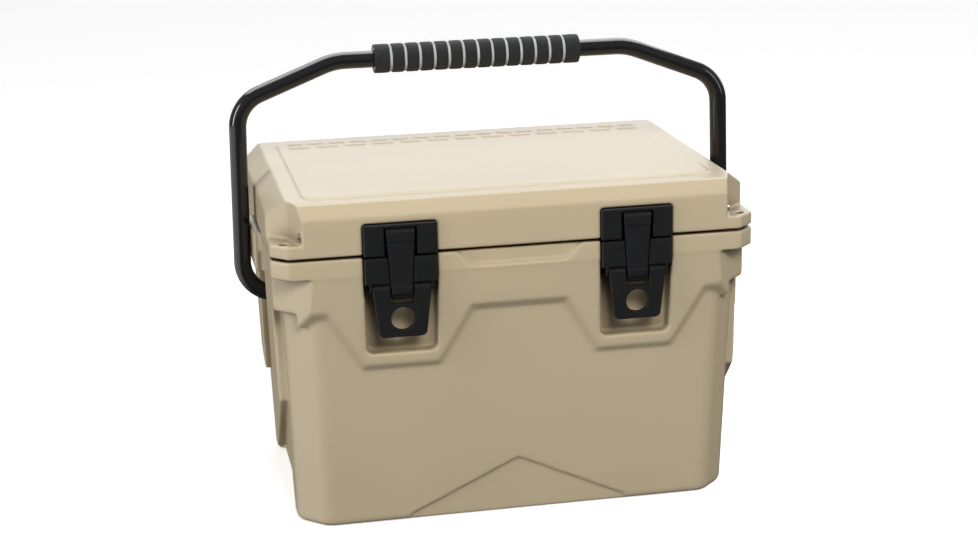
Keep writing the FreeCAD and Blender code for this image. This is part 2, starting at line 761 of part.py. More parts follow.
def strap(side, x):
    """The rubber strap from the lever up into the keeper: it tapers downwards between two rolls."""
    name = "strap_" + side
    front = D["latch_front"] - 1.6
    y = D["strap_y"]
    z = D["strap_z"]
    top = D["keeper_top"] - 9.9
    web = prism(
        name + "_web",
        [
            (front + 1.3, z + 3), (front + 1.3, top), (front + 6, top), (front + 6, z + 7),
            (y + 3, z + 3), (y + 3, z),
        ],
        "X", x - 20, x + 20,
    )
    foot = rod(name + "_foot", 5.0, 40.0, (x - 20, y, z), "X")
    roll = rod(name + "_roll", 5.3, 40.0, (x - 20, front + 5.3, top), "X")
    roll_skirt = box(name + "_roll_skirt", (x - 20, x + 20), (front, front + 5.3), (top - 8.5, top))
    bead = rod(name + "_bead", 4.6, 40.0, (x - 20, front + 4.6, z + 4.6), "X")
    bead_skirt = box(name + "_bead_skirt", (x - 20, x + 20), (front, front + 4.6), (z + 4.6, z + 10))
    plan = prism(
        name + "_plan",
        [(x - 9.8, z - 10), (x - 15.3, top + 10), (x + 15.3, top + 10), (x + 9.8, z - 10)], "Y",
        front - 10, y + 20,
    )
    solid = fuse(name + "_mass", web, foot, roll, roll_skirt, bead, bead_skirt)
    keep(
        cut(
            name, common(name + "_body", solid, plan),
            rod(name + "_hole", 2.05, 50.0, (x - 25, y, z), "X"),
        ),
        name,
    )


# ---------------------------------------------------------------- bail handle

def bent_wire(points, radii):
    """A wire of straight runs joined by tangent arcs, in the XZ plane."""
    edges = []
    corners = [Vector(number(x), 0, number(z)) for x, z in points]
    start = corners[0]
    for before, corner, after, radius in zip(corners, corners[1:], corners[2:], radii):
        into = (before - corner).normalize()
        out = (after - corner).normalize()
        half_turn = (math.pi - into.getAngle(out)) / 2
        reach = radius * math.tan(half_turn)
        first = corner + into * reach
        last = corner + out * reach
        inward = (into + out).normalize()
        centre = corner + inward * (radius / math.cos(half_turn))
        edges.append(Part.LineSegment(start, first).toShape())
        edges.append(Part.Arc(first, centre - inward * radius, last).toShape())
        start = last
    edges.append(Part.LineSegment(start, corners[-1]).toShape())
    return Part.Wire(edges)


def swept(name, path, radius):
    section = fresh("Part::Circle", name + "_section")
    bind(section, "Radius", radius)
    place(section, -D["tube_end"], 0, D["pivot_z"], Vector(0, 1, 0), 90)
    section.setExpression("Placement.Base.x", (-D["tube_end"]).text)
    thing = fresh("Part::Sweep", name)
    thing.Sections = [section]
    thing.Spine = path
    thing.Solid = True
    return thing


def foam_ring(name, length, at):
    """One foam ring with rounded shoulders, its bore a fit on the sleeve."""
    blank = rod(name + "_blank", D["grip_radius"], length, at, "X")
    blank = rounded(name + "_soft", blank, 1.2, lambda e: True)
    return cut(name, blank, rod(name + "_bore", D["sleeve_radius"], length, at, "X"))


def foam_rings(start, z):
    """Twelve equal rings in a row between two longer ones."""
    pitch = D["ring_length"] + D["ring_gap"]
    first = foam_ring("ring", D["ring_length"], (start + D["end_ring"] + D["ring_gap"], 0, z))
    rings = [foam_ring("end_ring_left", D["end_ring"], (start, 0, z)), first]
    for i in range(1, 12):
        rings.append(shifted("ring_" + str(i), first, Vector(number(pitch) * i, 0, 0)))
    rings.append(
        foam_ring("end_ring_right", D["end_ring"], (start + D["grip_half"] * 2 - D["end_ring"], 0, z))
    )
    return rings


def make_handle():
    arm = D["bail_half"]
    route = [
        (-D["tube_end"], D["pivot_z"]), (-arm, D["pivot_z"]), (4 - arm, D["bail_top"] - 41.8),
        (-166, D["bail_top"]), (166, D["bail_top"]), (arm - 4, D["bail_top"] - 41.8), (arm, D["pivot_z"]),
        (D["tube_end"], D["pivot_z"]),
    ]
    path = fresh("Part::Feature", "bail_path")
    path.Shape = bent_wire(route, [37.5, 40, 70, 70, 40, 37.5])
    tube = cut("handle_tube", swept("tube_outside", path, D["tube_radius"]),
               swept("tube_inside", path, D["tube_radius"] - 1.5))
    keep(tube, "handle_tube")
    half = D["grip_half"]
    middle_z = D["bail_top"]
    start = D["grip_centre"] - half
    core = rod("grip_core", D["sleeve_radius"], half * 2 - 2, (start + 1, 0, middle_z), "X")
    keep(
        cut(
            "grip_sleeve", core,
            rod("grip_bore", D["tube_radius"], half * 2 + 4, (start - 2, 0, middle_z), "X"),
        ),
        "grip_sleeve",
    )
    group = fresh("Part::Compound", "grip_rings")
    group.Links = foam_rings(start, middle_z)
    keep(group, "grip_rings")
    caps = []
    for side, x in (("left", -D["tube_end"] - 6), ("right", D["tube_end"])):
        caps.append(rod("end_plug_" + side, D["tube_radius"] - 1.5, 6.0, (x, 0, D["pivot_z"]), "X"))
    keep(fuse("handle_end_plugs", *caps), "handle_end_plugs")


# ---------------------------------------------------------------- rear hinges

def hinge_screw_rods(name, z, depth, length):
    """Screw shanks for both hinges: two to a leaf, starting at a depth inside the rear wall."""
    rods = []
    y = D["rim_depth"] / 2 - depth
    for side, x in (("left", -D["hinge_x"]), ("right", D["hinge_x"])):
        for i, spread in enumerate((-18, 18)):
            rods.append(rod(name + "_" + side + str(i), 2.2, length, (x + spread, y, z), "Y"))
    return rods


def knuckle(name, x, start, end):
    return rod(name, D["hinge_pin_radius"] + 3, end - start, (x + start, D["hinge_y"], D["hinge_z"]), "X")


def hinge_leaf(name, x, z_range, web_range, spans, clearance):
    """One leaf: a plate on the rear wall, and webs that join it to the knuckles round the pin."""
    y = D["rim_depth"] / 2
    plate = box(name + "_plate", (x - 30, x + 30), (y, y + 3), z_range)
    knuckles = []
    webs = []
    for i, (a, b) in enumerate(spans):
        knuckles.append(knuckle(name + "_knuckle_" + str(i), x, a, b))
        webs.append(box(name + "_web_" + str(i), (x + a, x + b), (y, y + 8), web_range))
    bore = rod(
        name + "_bore", D["hinge_pin_radius"] + clearance, 80.0, (x - 40, D["hinge_y"], D["hinge_z"]),
        "X",
    )
    screw_z = (z_range[0] + z_range[1]) / 2
    holes = [rod(name + "_hole_" + str(i), 2.2, 10.0, (x + spread, y - 5, screw_z), "Y")
             for i, spread in enumerate((-18, 18))]
    return cut(name, fuse(name + "_mass", plate, *knuckles, *webs), bore, *holes)


def make_hinges():
    y = D["rim_depth"] / 2
    z = D["hinge_z"]
    groups = {"hinge_base_leaves": [], "hinge_lid_leaves": [], "hinge_pins": []}
    for side, x in (("left", -D["hinge_x"]), ("right", D["hinge_x"])):
        base = hinge_leaf(
            "hinge_base_" + side, x, (z - 44, z - 8), (z - 14, z + 2), [(-30, -10), (10, 30)], 0.0,
        )
        top = hinge_leaf("hinge_top_" + side, x, (z + 12, z + 32), (z + 2, z + 18), [(-9.6, 9.6)], 0.05)
        pin = rod("hinge_pin_" + side, D["hinge_pin_radius"], 62.0, (x - 31, D["hinge_y"], z), "X")
        groups["hinge_base_leaves"].append(base)
        groups["hinge_lid_leaves"].append(top)
        groups["hinge_pins"].append(pin)
    for label, solids in groups.items():
        keep(fuse(label, *solids), label)
    for label, screw_z in (("hinge_base_screws", z - 26), ("hinge_lid_screws", z + 22)):
        pieces = hinge_screw_rods(label + "_shank", screw_z, 12, 15)
        for side, x in (("left", -D["hinge_x"]), ("right", D["hinge_x"])):
            for i, spread in enumerate((-18, 18)):
                pieces.append(
                    rod(label + "_head_" + side + str(i), 4.2, 2.4, (x + spread, y + 3, screw_z), "Y")
                )
        keep(fuse(label, *pieces), label)


make_body()
make_lid()
for latch_side, latch_middle in LATCHES:
    keeper(latch_side, latch_middle)
    bracket(latch_side, latch_middle)
    lever(latch_side, latch_middle)
    strap(latch_side, latch_middle)
make_handle()
make_hinges()
doc.recompute()
for thing in doc.Objects:
    if "Invalid" in thing.State or "Error" in thing.State:
        raise ValueError(thing.Name + " failed to build")
os.makedirs("parts", exist_ok=True)
for label, thing in used_labels.items():
    shape = thing.Shape
    if shape.isNull() or not shape.isValid():
        raise ValueError(label + " has no valid shape")
    shape.exportStep("parts/" + label + ".step")
    print(label, len(shape.Solids), round(shape.Volume / 1000, 1))
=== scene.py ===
import json
import math

import bmesh
import bpy
from mathutils import Matrix, Vector


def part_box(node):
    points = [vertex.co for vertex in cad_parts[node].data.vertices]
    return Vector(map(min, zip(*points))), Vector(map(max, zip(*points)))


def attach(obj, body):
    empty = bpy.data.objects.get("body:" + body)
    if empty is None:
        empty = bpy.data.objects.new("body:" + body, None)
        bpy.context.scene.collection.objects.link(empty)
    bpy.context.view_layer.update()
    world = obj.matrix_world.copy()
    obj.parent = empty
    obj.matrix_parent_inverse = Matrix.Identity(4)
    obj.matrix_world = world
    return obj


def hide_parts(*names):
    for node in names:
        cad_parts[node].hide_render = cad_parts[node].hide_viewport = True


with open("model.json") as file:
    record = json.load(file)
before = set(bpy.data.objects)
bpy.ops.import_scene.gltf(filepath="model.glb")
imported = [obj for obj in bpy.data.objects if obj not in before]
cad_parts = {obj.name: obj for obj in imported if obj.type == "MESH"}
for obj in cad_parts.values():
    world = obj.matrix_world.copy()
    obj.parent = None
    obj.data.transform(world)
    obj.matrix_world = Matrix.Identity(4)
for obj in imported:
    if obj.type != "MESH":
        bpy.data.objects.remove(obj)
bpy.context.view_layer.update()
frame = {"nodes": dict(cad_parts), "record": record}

SIDES = ("left", "right")
MM = 0.001

# lid: the dashes copy the CAD rows, each row as (middle y, half its depth, how many)
PANEL_TOP = 365.0 * MM
DASH_REACH = 213 * MM
DASH_ROWS = ((131 * MM, 4.5 * MM, 17), (113 * MM, 5.5 * MM, 13))
DASH_START, DASH_SHARE = 0.12, 0.76  # as shares of a row's pitch
DASH_RISE = 1.1 * MM
DASH_SUNK = 0.9 * MM
DASH_EDGE = 0.35 * MM

# bail tube: where its straight runs meet, and the bends between them
TUBE_END = 214 * MM
TUBE_WALL = 1.5 * MM
TUBE_SHAVE = 0.02 * MM  # keeps it just inside the CAD tube
TUBE_SIDES = 48
KNEE_DROP = 41.8 * MM
KNEE_INSET = 4 * MM
TOP_RUN_HALF = 166 * MM
TUBE_BENDS = [37.5 * MM, 40 * MM, 70 * MM, 70 * MM, 40 * MM, 37.5 * MM]
BEND_STEP = math.radians(3)

# grip: foam rings along the tube
RING_COUNT = 14
RING_GAP = 2.6 * MM
END_RING = 17.0 * MM
RING_CORNER = 1.3 * MM
RING_CROWN = 0.15 * MM
SHOULDER_STEPS = 6
CROWN_STEPS = 8
TURN_STEPS = 64
SLEEVE_LAP = 0.2 * MM  # how far the rings reach into the sleeve

# painted shade: the tan plastic's colour darkened and warmed in gaps and pockets, where shade falls
PAINTED_SHADE_REACH = 34 * MM
PAINTED_SHADE_TINT = (0.22, 0.18, 0.12)

# camera, in metres and radians
CAMERA_AT = (-0.41387, -2.10695, 0.82296)
CAMERA_YAW, CAMERA_PITCH, CAMERA_ROLL = 0.1951, 0.2708, -0.0218
CAMERA_LENS, CAMERA_SENSOR = 71.53, 36.0

# lamps: name, where it stands, what it points at, its sides and its watts
LAMPS = (
    ("key", (0.35, -2.6, 2.25), (0, 0, 0.2), (1.3, 1.0), 87.0),
    ("overhead_gloss", (0.0, 0.6, 1.9), (0, 0, 0.3), (2.8, 1.5), 60.0),
    ("left_strip", (-2.3, -0.7, 0.9), (0, 0, 0.2), (0.5, 1.3), 22.0),
    ("right_strip", (2.3, -1.6, 1.0), (0, 0, 0.25), (0.5, 1.5), 8.0),
)

# backdrop: a square floor inside a round wall
FLOOR_HALF, FLOOR_GLOW = 30.0, 0.56
WALL_RADIUS, WALL_HEIGHT, WALL_GLOW = 25.0, 60.0, 0.9
PAPER_DROP = 0.5 * MM


# ------------------------------------------------------------ material helpers

def new_material(name, colour, roughness, **sockets):
    """A Principled material with its constant values on the shader's own sockets."""
    mat = bpy.data.materials.new(name)
    mat.use_nodes = True
    shader = mat.node_tree.nodes["Principled BSDF"]
    shader.inputs["Base Color"].default_value = (*colour, 1.0)
    shader.inputs["Roughness"].default_value = roughness
    for socket, value in sockets.items():
        shader.inputs[socket.replace("_", " ")].default_value = value
    return mat


def node(mat, kind, **values):
    made = mat.node_tree.nodes.new(kind)
    for key, value in values.items():
        if key in made.inputs:
            made.inputs[key].default_value = value
        else:
            setattr(made, key, value)
    return made


def link(mat, source, target):
    mat.node_tree.links.new(source, target)


def object_noise(mat, scale, detail=3.0):
    """Noise in object space; scale is in cycles per metre."""
    coords = node(mat, "ShaderNodeTexCoord")
    noise = node(mat, "ShaderNodeTexNoise", Scale=scale, Detail=detail)
    link(mat, coords.outputs["Object"], noise.inputs["Vector"])
    return noise.outputs["Fac"]


def ramp(mat, source, low, high, start=0.3, end=0.7):
    """Maps a 0..1 value to a colour between low and high."""
    made = node(mat, "ShaderNodeValToRGB")
    made.color_ramp.elements[0].position = start
    made.color_ramp.elements[1].position = end
    made.color_ramp.elements[0].color = (*low, 1.0)
    made.color_ramp.elements[1].color = (*high, 1.0)
    link(mat, source, made.inputs["Fac"])
    return made.outputs["Color"]


def shaded(colour, factor):
    return tuple(min(1.0, c * factor) for c in colour)


def vary_colour(mat, colour, spread, scale):
    """Slow drift of the base colour over the surface."""
    shader = mat.node_tree.nodes["Principled BSDF"]
    low, high = shaded(colour, 1 - spread), shaded(colour, 1 + spread)
    link(mat, ramp(mat, object_noise(mat, scale), low, high), shader.inputs["Base Color"])


def paint_shade_in_hollows(mat, reach, tint):
    """Paints shade into the colour: darkens and warms it in gaps and pockets narrower than the
    reach.
    """
    shader = mat.node_tree.nodes["Principled BSDF"]
    open_sky = node(mat, "ShaderNodeAmbientOcclusion", samples=8, Distance=reach)
    shade = ramp(mat, open_sky.outputs["AO"], tint, (1.0, 1.0, 1.0), start=0.28, end=0.86)
    mix = node(mat, "ShaderNodeMix", data_type="RGBA", blend_type="MULTIPLY")
    mix.inputs["Factor"].default_value = 1.0
    first, second = (plug for plug in mix.inputs if plug.type == "RGBA")
    result = next(plug for plug in mix.outputs if plug.type == "RGBA")
    link(mat, shader.inputs["Base Color"].links[0].from_socket, first)
    link(mat, shade, second)
    link(mat, result, shader.inputs["Base Color"])


def vary_roughness(mat, low, high, scale):
    """Roughness drifting between low and high over the surface."""
    shader = mat.node_tree.nodes["Principled BSDF"]
    spread = node(mat, "ShaderNodeMapRange")
    spread.inputs["To Min"].default_value = low
    spread.inputs["To Max"].default_value = high
    link(mat, object_noise(mat, scale, 4.0), spread.inputs["Value"])
    link(mat, spread.outputs["Result"], shader.inputs["Roughness"])


def add_bump(mat, layers):
    """Fine relief from noise layers: (cycles per metre, height in metres)."""
    shader = mat.node_tree.nodes["Principled BSDF"]
    normal = None
    for scale, height in layers:
        bump = node(mat, "ShaderNodeBump", Strength=1.0, Distance=height)
        link(mat, object_noise(mat, scale, 2.0), bump.inputs["Height"])
        if normal:
            link(mat, normal, bump.inputs["Normal"])
        normal = bump.outputs["Normal"]
    link(mat, normal, shader.inputs["Normal"])


# ------------------------------------------------------------ materials

TAN = (0.49, 0.405, 0.265)
BLACK = (0.010, 0.0103, 0.0108)
RUBBER = (0.010, 0.0103, 0.0112)
CORE_GREY = (0.46, 0.46, 0.455)
SEAL_GREY = (0.22, 0.22, 0.215)
FOAM_CREAM = (0.80, 0.74, 0.55)
FOAM_GREY = (0.019, 0.0195, 0.0205)


def tan_plastic():
    """Satin rotomoulded polyethylene: fine orange peel, a slow drift in tone and painted shade in
    its gaps and pockets.
    """
    mat = new_material("tan_polyethylene", TAN, 0.42, IOR=1.5)
    vary_colour(mat, TAN, 0.02, 6.0)
    # painted shade: ambient occlusion darkens the base colour in gaps and pockets
    paint_shade_in_hollows(mat, PAINTED_SHADE_REACH, PAINTED_SHADE_TINT)
    vary_roughness(mat, 0.33, 0.42, 180.0)
    add_bump(mat, [(38.0, 0.0001), (420.0, 0.00003), (1500.0, 0.000012)])
    return mat


def black_nylon():
    """Moulded black nylon with a fine spark-eroded grain."""
    mat = new_material("black_nylon", BLACK, 0.45, IOR=1.42)
    vary_colour(mat, BLACK, 0.12, 60.0)
    vary_roughness(mat, 0.38, 0.52, 300.0)
    add_bump(mat, [(2600.0, 0.00004)])
    return mat


def black_rubber():
    """Satin rubber with a fine, even bloom."""
    mat = new_material("strap_rubber", RUBBER, 0.5, IOR=1.42)
    vary_colour(mat, RUBBER, 0.1, 40.0)
    vary_roughness(mat, 0.42, 0.56, 220.0)
    add_bump(mat, [(900.0, 0.00003)])
    return mat


def tube_paint():
    """Gloss black powder coat with its faint orange peel."""
    mat = new_material("gloss_powder_coat", (0.008, 0.008, 0.009), 0.16, IOR=1.5,
                       Coat_Weight=0.3, Coat_Roughness=0.06)
    vary_roughness(mat, 0.13, 0.18, 120.0)
    add_bump(mat, [(700.0, 0.000002)])
    return mat


def grip_foam():
    """Closed-cell foam: matt, with fine pores."""
    mat = new_material("grip_foam", FOAM_GREY, 0.85, IOR=1.4, Sheen_Weight=0.1, Sheen_Roughness=0.5)
    vary_colour(mat, FOAM_GREY, 0.18, 300.0)
    add_bump(mat, [(1400.0, 0.00016), (4000.0, 0.00006)])
    return mat


def grip_core():
    """The pale foam that shows in the grooves of the grip."""
    mat = new_material("grip_core", CORE_GREY, 0.7)
    vary_colour(mat, CORE_GREY, 0.1, 200.0)
    add_bump(mat, [(900.0, 0.00008)])
    return mat


def steel():
    mat = new_material("steel", (0.62, 0.61, 0.60), 0.28, Metallic=1.0)
    vary_roughness(mat, 0.2, 0.38, 400.0)
    add_bump(mat, [(2000.0, 0.00001)])
    return mat


def dark_steel():
    mat = new_material("blackened_steel", (0.03, 0.03, 0.032), 0.4, Metallic=0.6)
    vary_roughness(mat, 0.32, 0.5, 400.0)
    add_bump(mat, [(2000.0, 0.00001)])
    return mat


def seal_rubber():
    mat = new_material("seal_rubber", SEAL_GREY, 0.7)
    vary_colour(mat, SEAL_GREY, 0.08, 50.0)
    add_bump(mat, [(1200.0, 0.00004)])
    return mat


def white_foam():
    mat = new_material("insulation_foam", FOAM_CREAM, 0.95)
    vary_colour(mat, FOAM_CREAM, 0.06, 120.0)
    add_bump(mat, [(700.0, 0.0004)])
    return mat


MATERIALS = {
    "tan_shell": tan_plastic(), "black_plastic": black_nylon(), "strap_rubber": black_rubber(),
    "black_tube": tube_paint(), "grip_foam": grip_foam(), "grip_grey": grip_core(),
    "steel_fixings": steel(), "dark_pins": dark_steel(), "gasket_rubber": seal_rubber(),
    "insulation_foam": white_foam(),
}
NODE_SLOT = {row["node"]: row["material_slot"] for row in frame["record"]["subparts"]}


def dress(piece, slot_name):
    piece.data.materials.clear()
    piece.data.materials.append(MATERIALS[slot_name])


# ------------------------------------------------------------ mesh helpers

def mesh_of(obj, name):
    """The evaluated mesh of an object, as a new datablock."""
    graph = bpy.context.evaluated_depsgraph_get()
    made = bpy.data.meshes.new_from_object(obj.evaluated_get(graph))
    made.name = name
    return made


def place_piece(name, mesh, body, slot_name, *nodes):
    piece = bpy.data.objects.new(name, mesh)
    bpy.context.scene.collection.objects.link(piece)
    dress(piece, slot_name)
    if nodes:
        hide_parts(*nodes)
    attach(piece, body)
    return piece


def drop_inner_voids(bm):
    """Keeps only the outermost closed surface; the sealed pocket for the foam goes."""
    todo = set(bm.verts)
    shells = []
    while todo:
        stack = [todo.pop()]
        shell = list(stack)
        while stack:
            for edge in stack.pop().link_edges:
                for vert in edge.verts:
                    if vert in todo:
                        todo.remove(vert)
                        shell.append(vert)
                        stack.append(vert)
        shells.append(shell)
    reach = [max(v.co.x for v in shell) - min(v.co.x for v in shell) for shell in shells]
    keep = shells[reach.index(max(reach))]
    kept = set(keep)
    bmesh.ops.delete(bm, geom=[v for v in bm.verts if v not in kept], context="VERTS")


def relax_where(mesh, wanted, rounds):
    """Extra smoothing of the points that a test picks out."""
    bm = bmesh.new()
    bm.from_mesh(mesh)
    chosen = [v for v in bm.verts if wanted(v.co)]
    for _ in range(rounds):
        bmesh.ops.smooth_vert(bm, verts=chosen, factor=0.5,
                              use_axis_x=True, use_axis_y=True, use_axis_z=True)
    bm.to_mesh(mesh)
    bm.free()


def softened(node_name, voxel, rounds, ratio, outer_only=False):
    """A copy of a CAD node whose edges are rounded as a mould rounds them."""
    source = frame["nodes"][node_name]
    bm = bmesh.new()
    bm.from_mesh(source.data)
    bmesh.ops.remove_doubles(bm, verts=bm.verts, dist=1e-6)
    if outer_only:
        drop_inner_voids(bm)
    mesh = bpy.data.meshes.new(node_name + "_work")
    bm.to_mesh(mesh)
    bm.free()
    work = bpy.data.objects.new(node_name + "_work", mesh)
    bpy.context.scene.collection.objects.link(work)
    remesh = work.modifiers.new("remesh", "REMESH")
    remesh.mode = "VOXEL"
    remesh.voxel_size = voxel * 1.0
    smooth = work.modifiers.new("smooth", "SMOOTH")
    smooth.factor = 0.5
    smooth.iterations = rounds
    thin = work.modifiers.new("thin", "DECIMATE")
    thin.ratio = ratio
    made = mesh_of(work, node_name + "_soft")
    bpy.data.objects.remove(work)
    made.shade_smooth()
    return made


def shade_cad_nodes():
    for name, obj in frame["nodes"].items():
        dress(obj, NODE_SLOT[name])


# ------------------------------------------------------------ the pieces

def under_apron_corner(co):
    """The end of the apron's lower edge, where it runs out under the padlock hollow."""
    return abs(co.x) > 0.205 and abs(co.y) > 0.135 and 0.205 < co.z < 0.25


def build_shells():
    shell = softened("body_shell", voxel=1.5 * MM, rounds=12, ratio=0.15, outer_only=True)
    relax_where(shell, under_apron_corner, rounds=10)
    place_piece("chest_body", shell, "chest", "tan_shell", "body_shell")
    lid = softened("lid_shell", voxel=1.25 * MM, rounds=10, ratio=0.17, outer_only=True)
    place_piece("chest_lid", lid, "lid", "tan_shell", "lid_shell")


def add_frustum(bm, low, high, inset):
    """A block from low to high whose top is smaller than its foot by the inset all round."""
    foot = [(low.x, low.y), (high.x, low.y), (high.x, high.y), (low.x, high.y)]
    top = [(low.x + inset, low.y + inset), (high.x - inset, low.y + inset),
           (high.x - inset, high.y - inset), (low.x + inset, high.y - inset)]
    lower = [bm.verts.new((x, y, low.z)) for x, y in foot]
    upper = [bm.verts.new((x, y, high.z)) for x, y in top]
    bm.faces.new(lower[::-1])
    bm.faces.new(upper)
    for j in range(4):
        k = (j + 1) % 4
        bm.faces.new((lower[j], lower[k], upper[k], upper[j]))


def build_dashes():
    """Crisp copies of the two rows of raised dashes, which softening the lid nearly wipes out."""
    bm = bmesh.new()
    for y, half_depth, count in DASH_ROWS:
        pitch = DASH_REACH * 2 / count
        for i in range(count):
            start = pitch * (i + DASH_START) - DASH_REACH
            low = Vector((start, y - half_depth, PANEL_TOP - DASH_SUNK))
            end = start + pitch * DASH_SHARE
            high = Vector((end, y + half_depth, PANEL_TOP + DASH_RISE))
            add_frustum(bm, low, high, DASH_RISE)
    bmesh.ops.bevel(bm, geom=bm.edges[:], offset=DASH_EDGE, segments=2, profile=0.5,
                    affect="EDGES")
    mesh = bpy.data.meshes.new("lid_dashes")
    bm.to_mesh(mesh)
    bm.free()
    mesh.shade_smooth()
    mesh.set_sharp_from_angle(angle=math.radians(35))
    place_piece("lid_dashes", mesh, "lid", "tan_shell")


def build_latches():
    bodies = {"keeper_": "lid", "bracket_": "chest"}
    for side in SIDES:
        bodies["lever_"] = "latch_lever_" + side
        bodies["strap_"] = "latch_strap_" + side
        for part, body in bodies.items():
            mesh = softened(part + side, voxel=0.45 * MM, rounds=4, ratio=0.5)
            place_piece("latch_" + part + side, mesh, body, NODE_SLOT[part + side], part + side)


def lathe(profile, centre, steps=TURN_STEPS):
    """Turns a closed profile of (along X, radius) points about the X axis through centre."""
    bm = bmesh.new()
    rings = []
    for i in range(steps):
        angle = 2 * math.pi * i / steps
        rings.append([
            bm.verts.new(centre + Vector((x, r * math.cos(angle), r * math.sin(angle))))
            for x, r in profile
        ])
    count = len(profile)
    for i in range(steps):
        here = rings[i]
        there = rings[(i + 1) % steps]
        for j in range(count):
            k = (j + 1) % count
            bm.faces.new((here[j], there[j], there[k], here[k]))
    bmesh.ops.recalc_face_normals(bm, faces=bm.faces)
    return bm


def bent_path(corners, radii, step):
    """Points along a line through the corners (x, z), with an arc at each inner corner."""
    points = [Vector((corners[0][0], 0, corners[0][1]))]
    for i, radius in enumerate(radii, start=1):
        before, corner, after = (Vector((x, 0, z)) for x, z in corners[i - 1:i + 2])
        into = (corner - before).normalized()
        out = (after - corner).normalized()
        turn = into.angle(out)
        reach = radius * math.tan(turn / 2)
        start = corner - into * reach
        centre = start + (out - into * into.dot(out)).normalized() * radius
        axis = into.cross(out).normalized()
        count = max(3, int(turn / step))
        for j in range(count + 1):
            points.append(centre + Matrix.Rotation(turn * j / count, 3, axis) @ (start - centre))
    points.append(Vector((corners[-1][0], 0, corners[-1][1])))
    return points


def tube_mesh(name, points, outer, inner, sides=TUBE_SIDES):
    """A hollow tube along points in the XZ plane, open at both ends."""
    bm = bmesh.new()
    sections = []
    for i, point in enumerate(points):
        along = (points[min(i + 1, len(points) - 1)] - points[max(i - 1, 0)]).normalized()
        if i in (0, len(points) - 1):
            along = Vector((1, 0, 0))
        across = along.cross(Vector((0, 1, 0)))
        section = []
        for radius in (outer, inner):
            for j in range(sides):
                angle = 2 * math.pi * j / sides
                out = across * math.cos(angle) + Vector((0, 1, 0)) * math.sin(angle)
                section.append(bm.verts.new(point + out * radius))
        sections.append(section)
    for here, there in zip(sections, sections[1:]):
        for j in range(sides):
            k = (j + 1) % sides
            bm.faces.new((here[j], here[k], there[k], there[j]))
            bm.faces.new((here[sides + j], there[sides + j], there[sides + k], here[sides + k]))
    for section in (sections[0], sections[-1]):
        for j in range(sides):
            k = (j + 1) % sides
            bm.faces.new((section[j], section[k], section[sides + k], section[sides + j]))
    bmesh.ops.recalc_face_normals(bm, faces=bm.faces)
    mesh = bpy.data.meshes.new(name)
    bm.to_mesh(mesh)
    bm.free()
    mesh.shade_smooth()
    mesh.set_sharp_from_angle(angle=math.radians(50))
    return mesh


def build_tube():
    low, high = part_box("handle_tube")
    radius = (high[1] - low[1]) / 2
    arm = high[0] - radius
    top = high[2] - radius
    pivot = low[2] + radius
    knee = arm - KNEE_INSET
    right_half = [(TOP_RUN_HALF, top), (knee, top - KNEE_DROP), (arm, pivot), (TUBE_END, pivot)]
    corners = [(-x, z) for x, z in reversed(right_half)] + right_half
    path = bent_path(corners, TUBE_BENDS, BEND_STEP)
    mesh = tube_mesh("bail_tube", path, radius - TUBE_SHAVE, radius - TUBE_WALL)
    place_piece("bail_tube", mesh, "bail_handle", "black_tube", "handle_tube")


def ring_profile(length, inner, outer, corner, crown):
    """A foam ring's section: rounded shoulders and a slightly crowned outside."""
    end = -length / 2
    points = [(end, inner), (end, outer - corner)]
    for i in range(1, SHOULDER_STEPS):
        turn = math.pi / 2 * i / SHOULDER_STEPS
        rise = corner * math.sin(turn)
        points.append((end + corner * (1 - math.cos(turn)), outer - corner + rise))
    shoulder = list(points)
    for i in range(1, CROWN_STEPS):
        along = i / CROWN_STEPS
        x = end + corner + (length - 2 * corner) * along
        points.append((x, outer + crown * math.sin(math.pi * along)))
    return points + [(-x, r) for x, r in reversed(shoulder)]


def build_grip():
    """Foam rings side by side; the two at the ends are longer."""
    low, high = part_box("grip_rings")
    foam_length = high[0] - low[0] - RING_GAP * (RING_COUNT - 1)
    length = (foam_length - 2 * END_RING) / (RING_COUNT - 2)
    outer = (high[2] - low[2]) / 2
    centre_z = (high[2] + low[2]) / 2
    sleeve_low, sleeve_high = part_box("grip_sleeve")
    inner = (sleeve_high[2] - sleeve_low[2]) / 2 - SLEEVE_LAP
    joined = bmesh.new()
    x = low[0]
    for i in range(RING_COUNT):
        this = END_RING if i in (0, RING_COUNT - 1) else length
        profile = ring_profile(this, inner, outer - RING_CROWN, RING_CORNER, RING_CROWN)
        ring = lathe(profile, Vector((x + this / 2, 0, centre_z)))
        mesh = bpy.data.meshes.new("ring")
        ring.to_mesh(mesh)
        ring.free()
        joined.from_mesh(mesh)
        x += this + RING_GAP
    mesh = bpy.data.meshes.new("grip_foam_rings")
    joined.to_mesh(mesh)
    joined.free()
    mesh.shade_smooth()
    piece = place_piece("grip_foam_rings", mesh, "bail_handle", "grip_foam", "grip_rings")


# ------------------------------------------------------------ camera, light and floor

def add_camera():
    data = bpy.data.cameras.new("camera")
    data.lens = CAMERA_LENS
    data.sensor_width = CAMERA_SENSOR
    data.clip_end = 100.0
    camera = bpy.data.objects.new("camera", data)
    bpy.context.scene.collection.objects.link(camera)
    level = math.cos(CAMERA_PITCH)
    forward = Vector((math.sin(CAMERA_YAW) * level, math.cos(CAMERA_YAW) * level,
                      -math.sin(CAMERA_PITCH)))
    right = Vector((math.cos(CAMERA_YAW), -math.sin(CAMERA_YAW), 0.0))
    up = right.cross(forward)
    right_rolled = right * math.cos(CAMERA_ROLL) + up * math.sin(CAMERA_ROLL)
    up_rolled = up * math.cos(CAMERA_ROLL) - right * math.sin(CAMERA_ROLL)
    turn = Matrix((right_rolled, up_rolled, -forward)).transposed()
    camera.matrix_world = Matrix.Translation(CAMERA_AT) @ turn.to_4x4()
    bpy.context.scene.camera = camera


